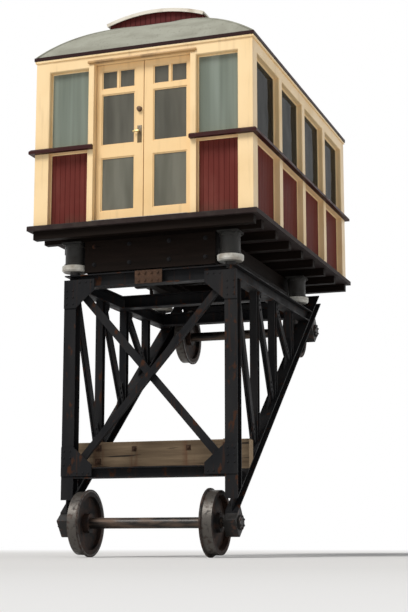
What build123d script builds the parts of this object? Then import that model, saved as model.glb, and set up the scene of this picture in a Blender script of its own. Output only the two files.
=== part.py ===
# Inclined-railway car: a level timber cabin on a trussed steel chassis that runs on a 38 degree track.
# Millimetres. +X is to the right of someone who faces uphill, +Y is level and uphill, +Z is up.
# The origin is on the plane of the rail heads, midway between the rails, where the lower wheels touch them.

import os
from math import atan, cos, degrees, sin

from build123d import *

# Track
rail_slope = 0.78                # rise of the rails for each unit of level distance
gauge_width = 1524               # between the inner faces of the rail heads
axle_distance = 3420             # level distance between the axles

# Wheels and axles
tread_radius = 360
tread_width = 110
flange_height = 25
flange_width = 30                # at its root
flange_tip = 18
flange_play = 7                  # between a flange and the rail head beside it
wheel_web_thick = 28
wheel_dish = 24                  # how much further out the web stands at the hub than at the rim
rim_depth = 52
hub_radius = 112
axle_radius = 62
axle_collar = 20                 # thick part of the axle outside each wheel
journal_radius = 48
journal_play = 0.05
journal_end_gap = 4
axle_box_width = 250             # along the slope
axle_box_wall = 120              # below the axle centre
axle_box_round = 30
axle_cover_radius = 84
axle_cover_thick = 24

# Chassis side frames
frame_clear = 65                 # from the wheels to the side frames
frame_thick = 150
flange_plate = 14                # flanges and webs of the rolled beams
leg_width = 150
leg_setback = 280                # from the cabin's downhill face to the legs
top_chord_depth = 160
low_chord_depth = 140
low_chord_height = 490           # underside of the lower chord, square above the rails
low_chord_reach = 530            # lower chord beyond the upper axle, along the slope
upright_width = 100
upright_thick = 90
upright_count = 3
gusset_thick = 14
gusset_reach = 210               # gusset along its chord
gusset_height = 290
diagonal_width = 90
diagonal_thick = 22
diagonal_gap = 12                # from the ends of the diagonals to the chords and uprights

# Beams and braces across the chassis
front_beam_depth = 125
front_beam_rise = 230            # lower front beam above the lower chords
brace_width = 95
brace_thick = 14
brace_lip = 60
timber_depth = 340
timber_thick = 150
timber_setback = 430             # from the legs' downhill face to the timber beam
timber_chamfer = 12
draw_beam_width = 130
draw_beam_clear = 15             # from the upper wheels to the drawbeam
eye_offset = 180                 # each rope eye from the middle
eye_thick = 60
eye_radius = 60
eye_bore = 25
eye_reach = 120
eye_drop = 120                   # eye centre below the drawbeam's centre line

# Underframe and mountings
end_clear = 110                  # from the lower chords' upper ends to the floor bearers
bearer_width = 100
bearer_depth = 100
bearer_bays = 5                  # between the front and rear mountings
bearer_inset = 50                # end bearers from the cabin's ends
solebar_width = 120
solebar_depth = 180
solebar_plate = 12
solebar_clear = 18               # from the solebars to the drawbeam
headstock_thick = 100
headstock_clear = 20             # above the chassis
chassis_drop = 500               # from the floor's underside to the chassis top
mounting_inset = 238             # rear mountings ahead of the meeting of the chords
housing_radius = 118
housing_plate = 250
housing_plate_thick = 20
disc_radius = 155
disc_thick = 70
disc_chamfer = 18
disc_clear = 5                   # between a disc and the solebar
disc_offset = 50                 # disc centres outside the side frames' inner faces
spigot_radius = 60
spigot_height = 45               # under the disc, down to the chassis

# Cabin
cabin_overhang = 580             # downhill face of the cabin, beyond the origin
cabin_length = 4440
cabin_width = 2740
floor_thick = 60
sill_reach = 60                  # floor and waist moulding, beyond the walls
sill_round = 14
wall_height = 2120               # from the floor's underside to the wall top
wall_thick = 130
edge_chamfer = 8                 # on the outer edges of the wall openings
panel_recess = 80
panel_thick = 30
glass_recess = 75
glass_thick = 8
corner_post_width = 180
side_post_width = 130
side_bays = 4
waist_height = 1000              # window sills above the floor's underside
window_head = 1960
belt_height = 55
belt_slope = 22                  # weathered top edge of the waist moulding

# Doors
doorway_half = 612
doorway_head = 2005
door_post_width = 71
leaf_thick = 45
leaf_gap = 5
leaf_chamfer = 6
meeting_stile = 115
hinge_stile = 68
leaf_bottom_rail = 135
lock_rail_low = 845              # heights in the leaf above the floor's underside
lock_rail_high = 1005
sash_rail_low = 1630
sash_rail_high = 1700
leaf_top_rail = 75
muntin_width = 28
pane_thick = 6
knuckle_radius = 12
knuckle_length = 40
knuckle_room = 2                 # from the knuckles to the other leaf's plate
hinge_offset = 14                # hinge axis inside the leaf's inner face
hinge_inset = 250                # hinges from the top and bottom of a leaf
hinge_plate = 5
hinge_width = 48
hinge_gap = 0.5
pin_radius = 7
pin_play = 0.05

# Roof
eaves_thick = 40
eaves_reach = 25
roof_rise = 430
roof_thick = 30
roof_end_length = 600            # length of the rounded ends
roof_crest = 12                  # how far the curves of the ends run on above the arch
roof_reach = 10
monitor_half = 600
monitor_setback = 450
monitor_wall = 25
monitor_height = 480             # springing of its arch above the eaves
monitor_foot = 150               # bottom of the uncut walls above the eaves
monitor_rise = 110
monitor_reach = 35
monitor_skin = 22

# Benches
bench_depth = 400
bench_height = 450
bench_board = 32
bench_back_height = 420
bench_rake = 60                  # how far the back leans
bench_lip = 55
bench_bend = 45
bench_clear = 120                # from the end walls
bench_supports = 4
bench_support_setback = 60

# Values worked out from the above
slope = atan(rail_slope)
uphill = Vector(0, cos(slope), sin(slope))
square_up = Vector(0, -sin(slope), cos(slope))
slope_length = axle_distance / cos(slope)
axle_low = square_up * tread_radius
axle_high = uphill * slope_length + square_up * tread_radius
wheel_inner = gauge_width / 2 - flange_play - flange_width
wheel_outer = wheel_inner + flange_width + tread_width
wheel_middle = (wheel_inner + wheel_outer) / 2
frame_inner = wheel_outer + frame_clear
frame_outer = frame_inner + frame_thick
frame_middle = (frame_inner + frame_outer) / 2
cabin_front = -cabin_overhang
leg_front = cabin_front + leg_setback
leg_back = leg_front + leg_width
leg_middle = leg_front + leg_width / 2
low_chord_top = low_chord_height + low_chord_depth
low_chord_end = slope_length + low_chord_reach
chord_end_low = uphill * low_chord_end + square_up * low_chord_height
chord_end_high = uphill * low_chord_end + square_up * low_chord_top
bearer_low = chord_end_high.Z + end_clear
floor_height = bearer_low + bearer_depth
floor_top = floor_height + floor_thick
chassis_top = floor_height - chassis_drop
top_chord_low = chassis_top - top_chord_depth
disc_top = chassis_top + spigot_height + disc_thick
wall_top = floor_height + wall_height
cabin_back = cabin_front + cabin_length
cabin_middle = cabin_front + cabin_length / 2
wall_outer = cabin_width / 2
wall_inner = wall_outer - wall_thick
window_low = floor_height + waist_height
window_high = floor_height + window_head
panel_high = window_low - belt_height
eaves_top = wall_top + eaves_thick
draw_start = slope_length + tread_radius + flange_height + draw_beam_clear
draw_middle = low_chord_height + low_chord_depth / 2
eye_start = draw_start + draw_beam_width
eye_centre = uphill * (eye_start + eye_reach) + square_up * (draw_middle - eye_drop)

sides = [("left", -1), ("right", 1)]
ends = [("lower", cabin_front, 1), ("upper", cabin_back, -1)]


def finish(builder, name):
    builder.part.label = name
    export_step(builder.part, f"parts/{name}.step")


def slope_plane(x):
    # Side view along the track: local X runs uphill, local Y stands square on the rails
    return Plane(origin=(x, 0, 0), x_dir=uphill, z_dir=(1, 0, 0))


def side_plane(hand, thick):
    # Level side view, from which a piece of that thickness is extruded in the middle of a side frame
    return Plane.YZ.offset(hand * frame_middle - thick / 2)


def rail_height(y, square=0):
    # Height, at a level distance y, of a line parallel to the rails and square above them
    return rail_slope * y + square / cos(slope)


def low_chord_at(y):
    return Vector(y, rail_height(y, low_chord_top))


def rolled_beam(plane, thick, width, start, stop):
    # Beam of I section: start and stop are the ends of its outline, each a pair of corners on the
    # plane, the width lies square between its long edges, and the pockets leave flanges and a web
    share = flange_plate / width
    pocket = (thick - flange_plate) / 2
    inner = [
        start[0] + (start[1] - start[0]) * share,
        stop[0] + (stop[1] - stop[0]) * share,
        stop[1] + (stop[0] - stop[1]) * share,
        start[1] + (start[0] - start[1]) * share,
    ]
    with BuildPart() as beam:
        with BuildSketch(plane):
            with BuildLine():
                Polyline(start[0], stop[0], stop[1], start[1], close=True)
            make_face()
        extrude(amount=thick)
        with BuildSketch(plane, plane.offset(thick - pocket)):
            with BuildLine():
                Polyline(*inner, close=True)
            make_face()
        extrude(amount=pocket, mode=Mode.SUBTRACT)
    return beam.part


def gusset(hand, corners):
    # Flat plate in the middle of a side frame
    with BuildPart() as plate:
        with BuildSketch(side_plane(hand, gusset_thick)):
            with BuildLine():
                Polyline(*corners, close=True)
            make_face()
        extrude(amount=gusset_thick)
    return plate.part


def head_gusset(hand, y, toward):
    # Under the top chord, beside an upright whose edge is at y
    return gusset(hand, [
        Vector(y, top_chord_low),
        Vector(y + toward * gusset_reach, top_chord_low),
        Vector(y + toward * gusset_reach, top_chord_low - gusset_reach / 4),
        Vector(y, top_chord_low - gusset_height),
    ])


def foot_gusset(hand, y, toward):
    # On the lower chord, beside an upright whose edge is at y
    tip = low_chord_at(y + toward * gusset_reach)
    return gusset(hand, [
        low_chord_at(y),
        tip,
        tip + Vector(0, gusset_reach / 4),
        low_chord_at(y) + Vector(0, gusset_height),
    ])


os.makedirs("parts", exist_ok=True)

# Front legs: rolled beams that stand on the lower chords, with a gusset at head and foot
for side, hand in sides:
    leg_beam = rolled_beam(
        side_plane(hand, frame_thick), frame_thick, leg_width,
        (low_chord_at(leg_front), low_chord_at(leg_back)),
        (Vector(leg_front, top_chord_low), Vector(leg_back, top_chord_low)),
    )
    leg_head = head_gusset(hand, leg_back, 1)
    leg_foot = foot_gusset(hand, leg_back, 1)
    with BuildPart() as leg:
        add(leg_beam)
        add(leg_head)
        add(leg_foot)
    finish(leg, f"{side}_leg")

# Lower chords: rolled beams parallel to the rails, over the axle boxes
for side, hand in sides:
    chord_beam = rolled_beam(
        side_plane(hand, frame_thick), frame_thick, low_chord_depth,
        (Vector(leg_front, rail_height(leg_front, low_chord_height)), low_chord_at(leg_front)),
        (Vector(chord_end_low.Y, chord_end_low.Z), Vector(chord_end_high.Y, chord_end_high.Z)),
    )
    with BuildPart() as low_chord:
        add(chord_beam)
    finish(low_chord, f"{side}_low_chord")

# Level top chords, cut to the lower chords where the two meet
meet_low = (top_chord_low - rail_height(0, low_chord_top)) / rail_slope
meet_high = (chassis_top - rail_height(0, low_chord_top)) / rail_slope
for side, hand in sides:
    chord_beam = rolled_beam(
        side_plane(hand, frame_thick), frame_thick, top_chord_depth,
        (Vector(leg_front, top_chord_low), Vector(leg_front, chassis_top)),
        (Vector(meet_low, top_chord_low), Vector(meet_high, chassis_top)),
    )
    with BuildPart() as top_chord:
        add(chord_beam)
    finish(top_chord, f"{side}_top_chord")

# Uprights of the side trusses, each with gussets for the diagonals that end at it
bay_length = (meet_low - leg_back) / (upright_count + 1)
upright_lines = [leg_back + bay_length * (i + 1) for i in range(upright_count)]
for side, hand in sides:
    upright_beams = []
    for i, line in enumerate(upright_lines):
        near, far = line - upright_width / 2, line + upright_width / 2
        upright_beams.append(rolled_beam(
            side_plane(hand, upright_thick), upright_thick, upright_width,
            (low_chord_at(near), low_chord_at(far)),
            (Vector(near, top_chord_low), Vector(far, top_chord_low)),
        ))
        upright_beams.append(foot_gusset(hand, near, -1))
        if i < upright_count - 1:
            upright_beams.append(head_gusset(hand, far, 1))
    with BuildPart() as uprights:
        for beam in upright_beams:
            add(beam)
    finish(uprights, f"{side}_uprights")

# Diagonals: a pair of flats in each bay, one on each face of the gussets
bay_edges = [leg_back] + [line + upright_width / 2 for line in upright_lines]
for side, hand in sides:
    with BuildPart() as diagonals:
        for i, line in enumerate(upright_lines):
            near = bay_edges[i] + diagonal_gap
            far = line - upright_width / 2 - diagonal_gap
            head = Vector(near, top_chord_low)
            foot = low_chord_at(far)
            lean = (foot - head).normalized()
            across = Vector(-lean.Y, lean.X) * diagonal_width / 2
            over = lean * diagonal_width
            flat_planes = [side_plane(hand, gusset_thick + 2 * diagonal_thick),
                           side_plane(hand, -gusset_thick)]
            with BuildSketch(*flat_planes):
                with BuildLine():
                    Polyline(head - over + across, foot + over + across,
                             foot + over - across, head - over - across, close=True)
                make_face()
                with BuildLine():
                    Polyline(low_chord_at(near) + Vector(0, diagonal_gap), foot + Vector(0, diagonal_gap),
                             Vector(far, top_chord_low - diagonal_gap),
                             Vector(near, top_chord_low - diagonal_gap), close=True)
                make_face(mode=Mode.INTERSECT)
            extrude(amount=diagonal_thick)
    finish(diagonals, f"{side}_diagonals")

# Cross beams between the side frames: two in the front frame and two more under the cabin
rear_mounting = meet_low - mounting_inset
front_beam_low = low_chord_at(leg_front).Y + front_beam_rise
beam_table = [
    # middle of the beam in y, its underside, its depth
    (leg_middle, top_chord_low, top_chord_depth),
    (leg_middle, front_beam_low, front_beam_depth),
    ((leg_middle + rear_mounting) / 2, top_chord_low, top_chord_depth),
    (rear_mounting, top_chord_low, top_chord_depth),
]
beam_solids = []
for beam_y, beam_z, beam_depth in beam_table:
    beam_solids.append(rolled_beam(
        Plane.XZ.offset(-beam_y - leg_width / 2), leg_width, beam_depth,
        (Vector(-frame_inner, beam_z), Vector(-frame_inner, beam_z + beam_depth)),
        (Vector(frame_inner, beam_z), Vector(frame_inner, beam_z + beam_depth)),
    ))
with BuildPart() as cross_beams:
    for beam in beam_solids:
        add(beam)
finish(cross_beams, "cross_beams")

# Crossed braces of the front frame: two angles, back to back where they cross
brace_height = top_chord_low - front_beam_low - front_beam_depth
brace_middle = Vector(0, top_chord_low - brace_height / 2)
for name, hand, facing in [("front_brace_a", 1, -1), ("front_brace_b", -1, 1)]:
    corner = Vector(hand * frame_inner, brace_height / 2)
    lean = corner.normalized()
    across = Vector(-lean.Y, lean.X) * hand
    low_edge = across * (-brace_width / 2)
    lip_edge = across * (brace_thick - brace_width / 2)
    high_edge = across * (brace_width / 2)
    over = corner + lean * brace_width
    with BuildPart() as brace:
        for edge, depth in [(high_edge, brace_thick), (lip_edge, brace_lip)]:
            with BuildSketch(Plane.XZ.offset(-leg_middle)):
                with BuildLine():
                    Polyline(brace_middle - over + low_edge, brace_middle + over + low_edge,
                             brace_middle + over + edge, brace_middle - over + edge, close=True)
                make_face()
                with Locations(brace_middle):
                    Rectangle(2 * frame_inner, brace_height, mode=Mode.INTERSECT)
            extrude(amount=-facing * depth)
    finish(brace, name)

# Timber beam across the lower chords, its underside cut to their slope
timber_front = leg_front + timber_setback
timber_back = timber_front + timber_thick
timber_top = low_chord_at(timber_front).Y + timber_depth
with BuildPart() as timber_beam:
    with BuildSketch(Plane.YZ.offset(-frame_outer)):
        with BuildLine():
            Polyline(low_chord_at(timber_front), low_chord_at(timber_back),
                     (timber_back, timber_top), (timber_front, timber_top), close=True)
        make_face()
    extrude(amount=2 * frame_outer)
    chamfer(timber_beam.edges().group_by(Axis.Z)[-1], timber_chamfer)
finish(timber_beam, "timber_beam")

# Axle boxes under the lower chords, closed by a round cover outside
box_low = tread_radius - axle_box_wall
with BuildPart() as axle_boxes:
    for station in (0, slope_length):
        for side, hand in sides:
            with BuildSketch(slope_plane(hand * frame_inner)):
                with Locations((station, (low_chord_height + box_low) / 2)):
                    Rectangle(axle_box_width, low_chord_height - box_low)
                fillet(vertices().group_by(Axis.Y)[0], axle_box_round)
                with Locations((station, tread_radius)):
                    Circle(journal_radius + journal_play, mode=Mode.SUBTRACT)
            extrude(amount=hand * frame_thick)
            with BuildSketch(slope_plane(hand * frame_outer)):
                with Locations((station, tread_radius)):
                    Circle(axle_cover_radius)
            extrude(amount=hand * axle_cover_thick)
finish(axle_boxes, "axle_boxes")

# Wheelsets: the axle, and two dished wheels pressed on to it
for name, centre in [("lower", axle_low), ("upper", axle_high)]:
    axle_plane = Plane(origin=centre, x_dir=(1, 0, 0), z_dir=(0, 0, 1))
    collar_end = wheel_outer + axle_collar
    journal_end = frame_outer - journal_end_gap
    with BuildPart() as axle:
        with BuildSketch(axle_plane):
            with BuildLine():
                Polyline((-journal_end, 0), (journal_end, 0), (journal_end, journal_radius),
                         (collar_end, journal_radius), (collar_end, axle_radius),
                         (-collar_end, axle_radius), (-collar_end, journal_radius),
                         (-journal_end, journal_radius), close=True)
            make_face()
        revolve(axis=Axis(centre, (1, 0, 0)))
    finish(axle, f"{name}_axle")
    hub_web = wheel_middle + wheel_dish / 2
    rim_web = wheel_middle - wheel_dish / 2
    half_web = wheel_web_thick / 2
    rim_radius = tread_radius - rim_depth
    with BuildPart() as wheels:
        with BuildSketch(axle_plane):
            with BuildLine():
                Polyline((wheel_inner, axle_radius), (wheel_outer, axle_radius),
                         (wheel_outer, hub_radius), (hub_web + half_web, hub_radius),
                         (rim_web + half_web, rim_radius), (wheel_outer, rim_radius),
                         (wheel_outer, tread_radius), (wheel_inner + flange_width, tread_radius),
                         (wheel_inner + flange_tip, tread_radius + flange_height),
                         (wheel_inner, tread_radius + flange_height),
                         (wheel_inner, rim_radius), (rim_web - half_web, rim_radius),
                         (hub_web - half_web, hub_radius), (wheel_inner, hub_radius), close=True)
            make_face()
        revolve(axis=Axis(centre, (1, 0, 0)))
        mirror(about=Plane.YZ)
    finish(wheels, f"{name}_wheels")

# Drawbeam between the upper ends of the lower chords, with the two eyes that the ropes pin to
with BuildPart() as drawbeam:
    with BuildSketch(slope_plane(-frame_inner)):
        with Locations((draw_start + draw_beam_width / 2, draw_middle)):
            Rectangle(draw_beam_width, low_chord_depth)
    extrude(amount=2 * frame_inner)
    for hand in (-1, 1):
        with BuildSketch(slope_plane(hand * eye_offset - eye_thick / 2)):
            with Locations((draw_start + draw_beam_width / 2, draw_middle)):
                Rectangle(draw_beam_width, low_chord_depth)
            with Locations((eye_start + eye_reach, draw_middle - eye_drop)):
                Circle(eye_radius)
            make_hull()
            with Locations((eye_start + eye_reach, draw_middle - eye_drop)):
                Circle(eye_bore, mode=Mode.SUBTRACT)
        extrude(amount=eye_thick)
finish(drawbeam, "drawbeam")

# Cabin mountings: drums under the floor bearers, and the pale discs that rest on the chassis
disc_x = frame_inner + disc_offset
mounting_spots = [(hand * disc_x, y) for y in (leg_middle, rear_mounting) for hand in (-1, 1)]
with BuildPart() as housings:
    with BuildSketch(Plane.XY.offset(disc_top)):
        with Locations(*mounting_spots):
            Circle(housing_radius)
    extrude(amount=bearer_low - disc_top)
    with BuildSketch(Plane.XY.offset(bearer_low)):
        with Locations(*mounting_spots):
            Rectangle(housing_plate, housing_plate)
    extrude(amount=-housing_plate_thick)
finish(housings, "mounting_housings")

with BuildPart() as discs:
    with BuildSketch(Plane.XY.offset(disc_top)):
        with Locations(*mounting_spots):
            Circle(disc_radius)
    extrude(amount=-disc_thick)
    chamfer(discs.edges().group_by(Axis.Z)[0], disc_chamfer)
    with BuildSketch(Plane.XY.offset(chassis_top)):
        with Locations(*mounting_spots):
            Circle(spigot_radius)
    extrude(amount=spigot_height)
finish(discs, "mounting_discs")

# Underframe: channel solebars, floor bearers across them and the deep front headstock
solebar_outer = disc_x - disc_radius - disc_clear
solebar_inner = solebar_outer - solebar_width
solebar_front = leg_front + headstock_thick
solebar_back = (uphill * draw_start + square_up * low_chord_top).Y - solebar_clear
solebar_middle = (solebar_front + solebar_back) / 2
with BuildPart() as solebars:
    for side, hand in sides:
        with Locations((hand * (solebar_inner + solebar_outer) / 2, solebar_middle,
                        bearer_low - solebar_depth / 2)):
            Box(solebar_width, solebar_back - solebar_front, solebar_depth)
        with Locations((hand * (solebar_inner + solebar_outer - solebar_plate) / 2, solebar_middle,
                        bearer_low - solebar_depth / 2)):
            Box(solebar_width - solebar_plate, solebar_back - solebar_front,
                solebar_depth - 2 * solebar_plate, mode=Mode.SUBTRACT)
finish(solebars, "solebars")

bearer_pitch = (rear_mounting - leg_middle) / bearer_bays
bearer_lines = [cabin_front + bearer_inset, cabin_back - bearer_inset]
bearer_lines += [leg_middle + bearer_pitch * i for i in range(bearer_bays + 2)]
with BuildPart() as crossbearers:
    with BuildSketch(Plane.XY.offset(bearer_low)):
        for line in bearer_lines:
            with Locations((0, line)):
                Rectangle(cabin_width, bearer_width)
    extrude(amount=bearer_depth)
    with BuildSketch(Plane.XY.offset(bearer_low)):
        with Locations((0, leg_front + headstock_thick / 2)):
            Rectangle(2 * solebar_outer, headstock_thick)
    extrude(amount=-(bearer_low - chassis_top - headstock_clear))
finish(crossbearers, "crossbearers")

# Floor, proud of the walls all round
with BuildPart() as floor:
    with Locations((0, cabin_middle, floor_height + floor_thick / 2)):
        Box(cabin_width + 2 * sill_reach, cabin_length + 2 * sill_reach, floor_thick)
    fillet(floor.edges().group_by(Axis.Z)[-1], sill_round)
finish(floor, "floor")

# Side walls: posts and rails, open below the waist for the boarded panels and above it for windows
bay_pitch = (cabin_length - corner_post_width) / side_bays
post_table = []
for i in range(side_bays + 1):
    post_width = corner_post_width if i in (0, side_bays) else side_post_width
    post_table.append((cabin_front + corner_post_width / 2 + bay_pitch * i, post_width))
bay_table = []
for (post_y, post_width), (next_y, next_width) in zip(post_table, post_table[1:]):
    bay_start = post_y + post_width / 2
    bay_end = next_y - next_width / 2
    bay_table.append(((bay_start + bay_end) / 2, bay_end - bay_start))

for side, hand in sides:
    with BuildPart() as wall:
        with BuildSketch(Plane.YZ.offset(hand * wall_inner)):
            with Locations((cabin_middle, (floor_top + wall_top) / 2)):
                Rectangle(cabin_length, wall_top - floor_top)
            for bay_y, bay_width in bay_table:
                with Locations((bay_y, (window_low + window_high) / 2)):
                    Rectangle(bay_width, window_high - window_low, mode=Mode.SUBTRACT)
                with Locations((bay_y, (floor_top + panel_high) / 2)):
                    Rectangle(bay_width, panel_high - floor_top, mode=Mode.SUBTRACT)
        extrude(amount=hand * wall_thick)
        outer_face = wall.faces().sort_by(Axis.X)[0 if hand < 0 else -1]
        chamfer([edge for wire in outer_face.inner_wires() for edge in wire.edges()], edge_chamfer)
    finish(wall, f"{side}_wall")

# End walls, between the side walls, each with a doorway and a window beside it
light_inner = doorway_half + door_post_width
light_outer = wall_outer - corner_post_width
light_middle = (light_inner + light_outer) / 2
light_width = light_outer - light_inner
for end, face, inward in ends:
    with BuildPart() as wall:
        with BuildSketch(Plane.XZ.offset(-face)):
            with Locations((0, (floor_top + wall_top) / 2)):
                Rectangle(2 * wall_inner, wall_top - floor_top)
            with Locations((0, (floor_top + floor_height + doorway_head) / 2)):
                Rectangle(2 * doorway_half, floor_height + doorway_head - floor_top, mode=Mode.SUBTRACT)
            for hand in (-1, 1):
                with Locations((hand * light_middle, (window_low + window_high) / 2)):
                    Rectangle(light_width, window_high - window_low, mode=Mode.SUBTRACT)
                with Locations((hand * light_middle, (floor_top + panel_high) / 2)):
                    Rectangle(light_width, panel_high - floor_top, mode=Mode.SUBTRACT)
        extrude(amount=-inward * wall_thick)
        outer_face = wall.faces().sort_by(Axis.Y)[0 if inward > 0 else -1]
        chamfer([edge for wire in outer_face.inner_wires() for edge in wire.edges()], edge_chamfer)
    finish(wall, f"{end}_end_wall")

# Boarded panels below the windows, on the sides and beside the doors
panel_middle = (floor_top + panel_high) / 2
panel_height = panel_high - floor_top
panel_x = wall_outer - panel_recess - panel_thick / 2
with BuildPart() as panels:
    for side, hand in sides:
        for bay_y, bay_width in bay_table:
            with Locations((hand * panel_x, bay_y, panel_middle)):
                Box(panel_thick, bay_width, panel_height)
    for end, face, inward in ends:
        for hand in (-1, 1):
            with Locations((hand * light_middle, face + inward * (panel_recess + panel_thick / 2),
                            panel_middle)):
                Box(light_width, panel_thick, panel_height)
finish(panels, "boarded_panels")

# Window glass
glass_middle = (window_low + window_high) / 2
glass_height = window_high - window_low
glass_x = wall_outer - glass_recess - glass_thick / 2
with BuildPart() as glass:
    for side, hand in sides:
        for bay_y, bay_width in bay_table:
            with Locations((hand * glass_x, bay_y, glass_middle)):
                Box(glass_thick, bay_width, glass_height)
    for end, face, inward in ends:
        for hand in (-1, 1):
            with Locations((hand * light_middle, face + inward * (glass_recess + glass_thick / 2),
                            glass_middle)):
                Box(light_width, glass_thick, glass_height)
finish(glass, "window_glass")

# Waist moulding outside the walls, just below the windows and broken by the doorways
with BuildPart() as belt:
    with BuildSketch(Plane.XY.offset(window_low - belt_height)):
        with Locations((0, cabin_middle)):
            Rectangle(cabin_width + 2 * sill_reach, cabin_length + 2 * sill_reach)
            Rectangle(cabin_width, cabin_length, mode=Mode.SUBTRACT)
            Rectangle(2 * doorway_half, cabin_length + 4 * sill_reach, mode=Mode.SUBTRACT)
    extrude(amount=belt_height)
    top_edges = belt.edges().group_by(Axis.Z)[-1]
    side_edges = top_edges.filter_by(Axis.Y).sort_by(lambda edge: abs(edge.center().X))[-2:]
    end_edges = top_edges.filter_by(Axis.X).sort_by(lambda edge: abs(edge.center().Y - cabin_middle))[-4:]
    chamfer(side_edges + end_edges, belt_slope)
finish(belt, "belt_rails")

# Door leaves: glazed frames that hang in pairs and open inwards
hinge_y = wall_thick + hinge_offset
leaf_width = doorway_half - 2 * leaf_gap
leaf_low = floor_top + leaf_gap
leaf_high = floor_height + doorway_head - leaf_gap
pane_inner = leaf_gap + meeting_stile
pane_outer = leaf_gap + leaf_width - hinge_stile
pane_middle = (pane_inner + pane_outer) / 2
pane_width = pane_outer - pane_inner
small_width = (pane_width - muntin_width) / 2
small_low = floor_height + sash_rail_high
small_high = leaf_high - leaf_top_rail
pane_table = [
    # middle in x, width, bottom and top of each pane
    (pane_middle, pane_width, leaf_low + leaf_bottom_rail, floor_height + lock_rail_low),
    (pane_middle, pane_width, floor_height + lock_rail_high, floor_height + sash_rail_low),
    (pane_inner + small_width / 2, small_width, small_low, small_high),
    (pane_outer - small_width / 2, small_width, small_low, small_high),
]
hinge_heights = [leaf_low + hinge_inset, leaf_high - hinge_inset]
hinge_x = doorway_half - leaf_gap / 2
plate_start = knuckle_radius + knuckle_room
outer_knuckle = knuckle_length / 2 + hinge_gap
hinge_height = 2 * (outer_knuckle + knuckle_length)
for end, face, inward in ends:
    for side, hand in sides:
        leaf_face = face + inward * (wall_thick - leaf_thick)
        with BuildPart() as leaf:
            with BuildSketch(Plane.XZ.offset(-leaf_face)):
                with Locations((hand * (leaf_gap + leaf_width / 2), (leaf_low + leaf_high) / 2)):
                    Rectangle(leaf_width, leaf_high - leaf_low)
                for pane_x, width, low, high in pane_table:
                    with Locations((hand * pane_x, (low + high) / 2)):
                        Rectangle(width, high - low, mode=Mode.SUBTRACT)
            extrude(amount=-inward * leaf_thick)
            outer_face = leaf.faces().sort_by(Axis.Y)[0 if inward > 0 else -1]
            chamfer([edge for wire in outer_face.inner_wires() for edge in wire.edges()], leaf_chamfer)
            for height in hinge_heights:
                with Locations((hand * (hinge_x - (plate_start + hinge_width) / 2),
                                face + inward * (wall_thick + hinge_plate / 2), height)):
                    Box(hinge_width - plate_start, hinge_plate, hinge_height)
                with Locations((hand * (hinge_x - plate_start / 2),
                                face + inward * (wall_thick + hinge_plate / 2), height)):
                    Box(plate_start, hinge_plate, knuckle_length)
                with Locations((hand * hinge_x, face + inward * hinge_y, height)):
                    Cylinder(knuckle_radius, knuckle_length)
                    Cylinder(pin_radius + pin_play, knuckle_length, mode=Mode.SUBTRACT)
        finish(leaf, f"{end}_{side}_door")
        with BuildPart() as panes:
            for pane_x, width, low, high in pane_table:
                with Locations((hand * pane_x, face + inward * (wall_thick - leaf_thick / 2),
                                (low + high) / 2)):
                    Box(width, pane_thick, high - low)
        finish(panes, f"{end}_{side}_door_glass")

# The fixed halves of the door hinges: a plate on the post, two knuckles and the pin
with BuildPart() as door_hinges:
    for end, face, inward in ends:
        for side, hand in sides:
            for height in hinge_heights:
                with Locations((hand * (hinge_x + (plate_start + hinge_width) / 2),
                                face + inward * (wall_thick + hinge_plate / 2), height)):
                    Box(hinge_width - plate_start, hinge_plate, hinge_height)
                with Locations((hand * hinge_x, face + inward * hinge_y, height)):
                    Cylinder(pin_radius, hinge_height)
                for step in (-1, 1):
                    knuckle_z = height + step * (outer_knuckle + knuckle_length / 2)
                    with Locations((hand * hinge_x, face + inward * hinge_y, knuckle_z)):
                        Cylinder(knuckle_radius, knuckle_length)
                    with Locations((hand * (hinge_x + plate_start / 2),
                                    face + inward * (wall_thick + hinge_plate / 2), knuckle_z)):
                        Box(plate_start, hinge_plate, knuckle_length)
finish(door_hinges, "door_hinges")

# Benches along the side walls: a bent seat and back on upright boards
bench_length = cabin_length - 2 * wall_thick - 2 * bench_clear
seat_z = floor_top + bench_height
bench_back_x = wall_inner - bench_board / 2
bench_front_x = wall_inner - bench_depth
support_width = bench_depth - bench_support_setback - bench_rake
with BuildPart() as benches:
    for side, hand in sides:
        with BuildSketch(Plane.XZ.offset(-(cabin_middle - bench_length / 2))):
            with BuildLine():
                FilletPolyline((hand * bench_front_x, seat_z - bench_lip), (hand * bench_front_x, seat_z),
                               (hand * (bench_back_x - bench_rake), seat_z - bench_board / 2),
                               (hand * bench_back_x, seat_z + bench_back_height), radius=bench_bend)
            trace(line_width=bench_board)
        extrude(amount=-bench_length)
        for i in range(bench_supports):
            support_y = cabin_middle + bench_length * ((i + 0.5) / bench_supports - 0.5)
            with Locations((hand * (bench_front_x + bench_support_setback + support_width / 2), support_y,
                            (floor_top + seat_z - bench_board / 2) / 2)):
                Box(support_width, bench_board, seat_z - bench_board / 2 - floor_top)
finish(benches, "benches")

# Eaves board round the wall tops
with BuildPart() as eaves:
    with BuildSketch(Plane.XY.offset(wall_top)):
        with Locations((0, cabin_middle)):
            Rectangle(cabin_width + 2 * eaves_reach, cabin_length + 2 * eaves_reach)
            Rectangle(2 * wall_inner, cabin_length - 2 * wall_thick, mode=Mode.SUBTRACT)
    extrude(amount=eaves_thick)
finish(eaves, "eaves")


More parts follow.
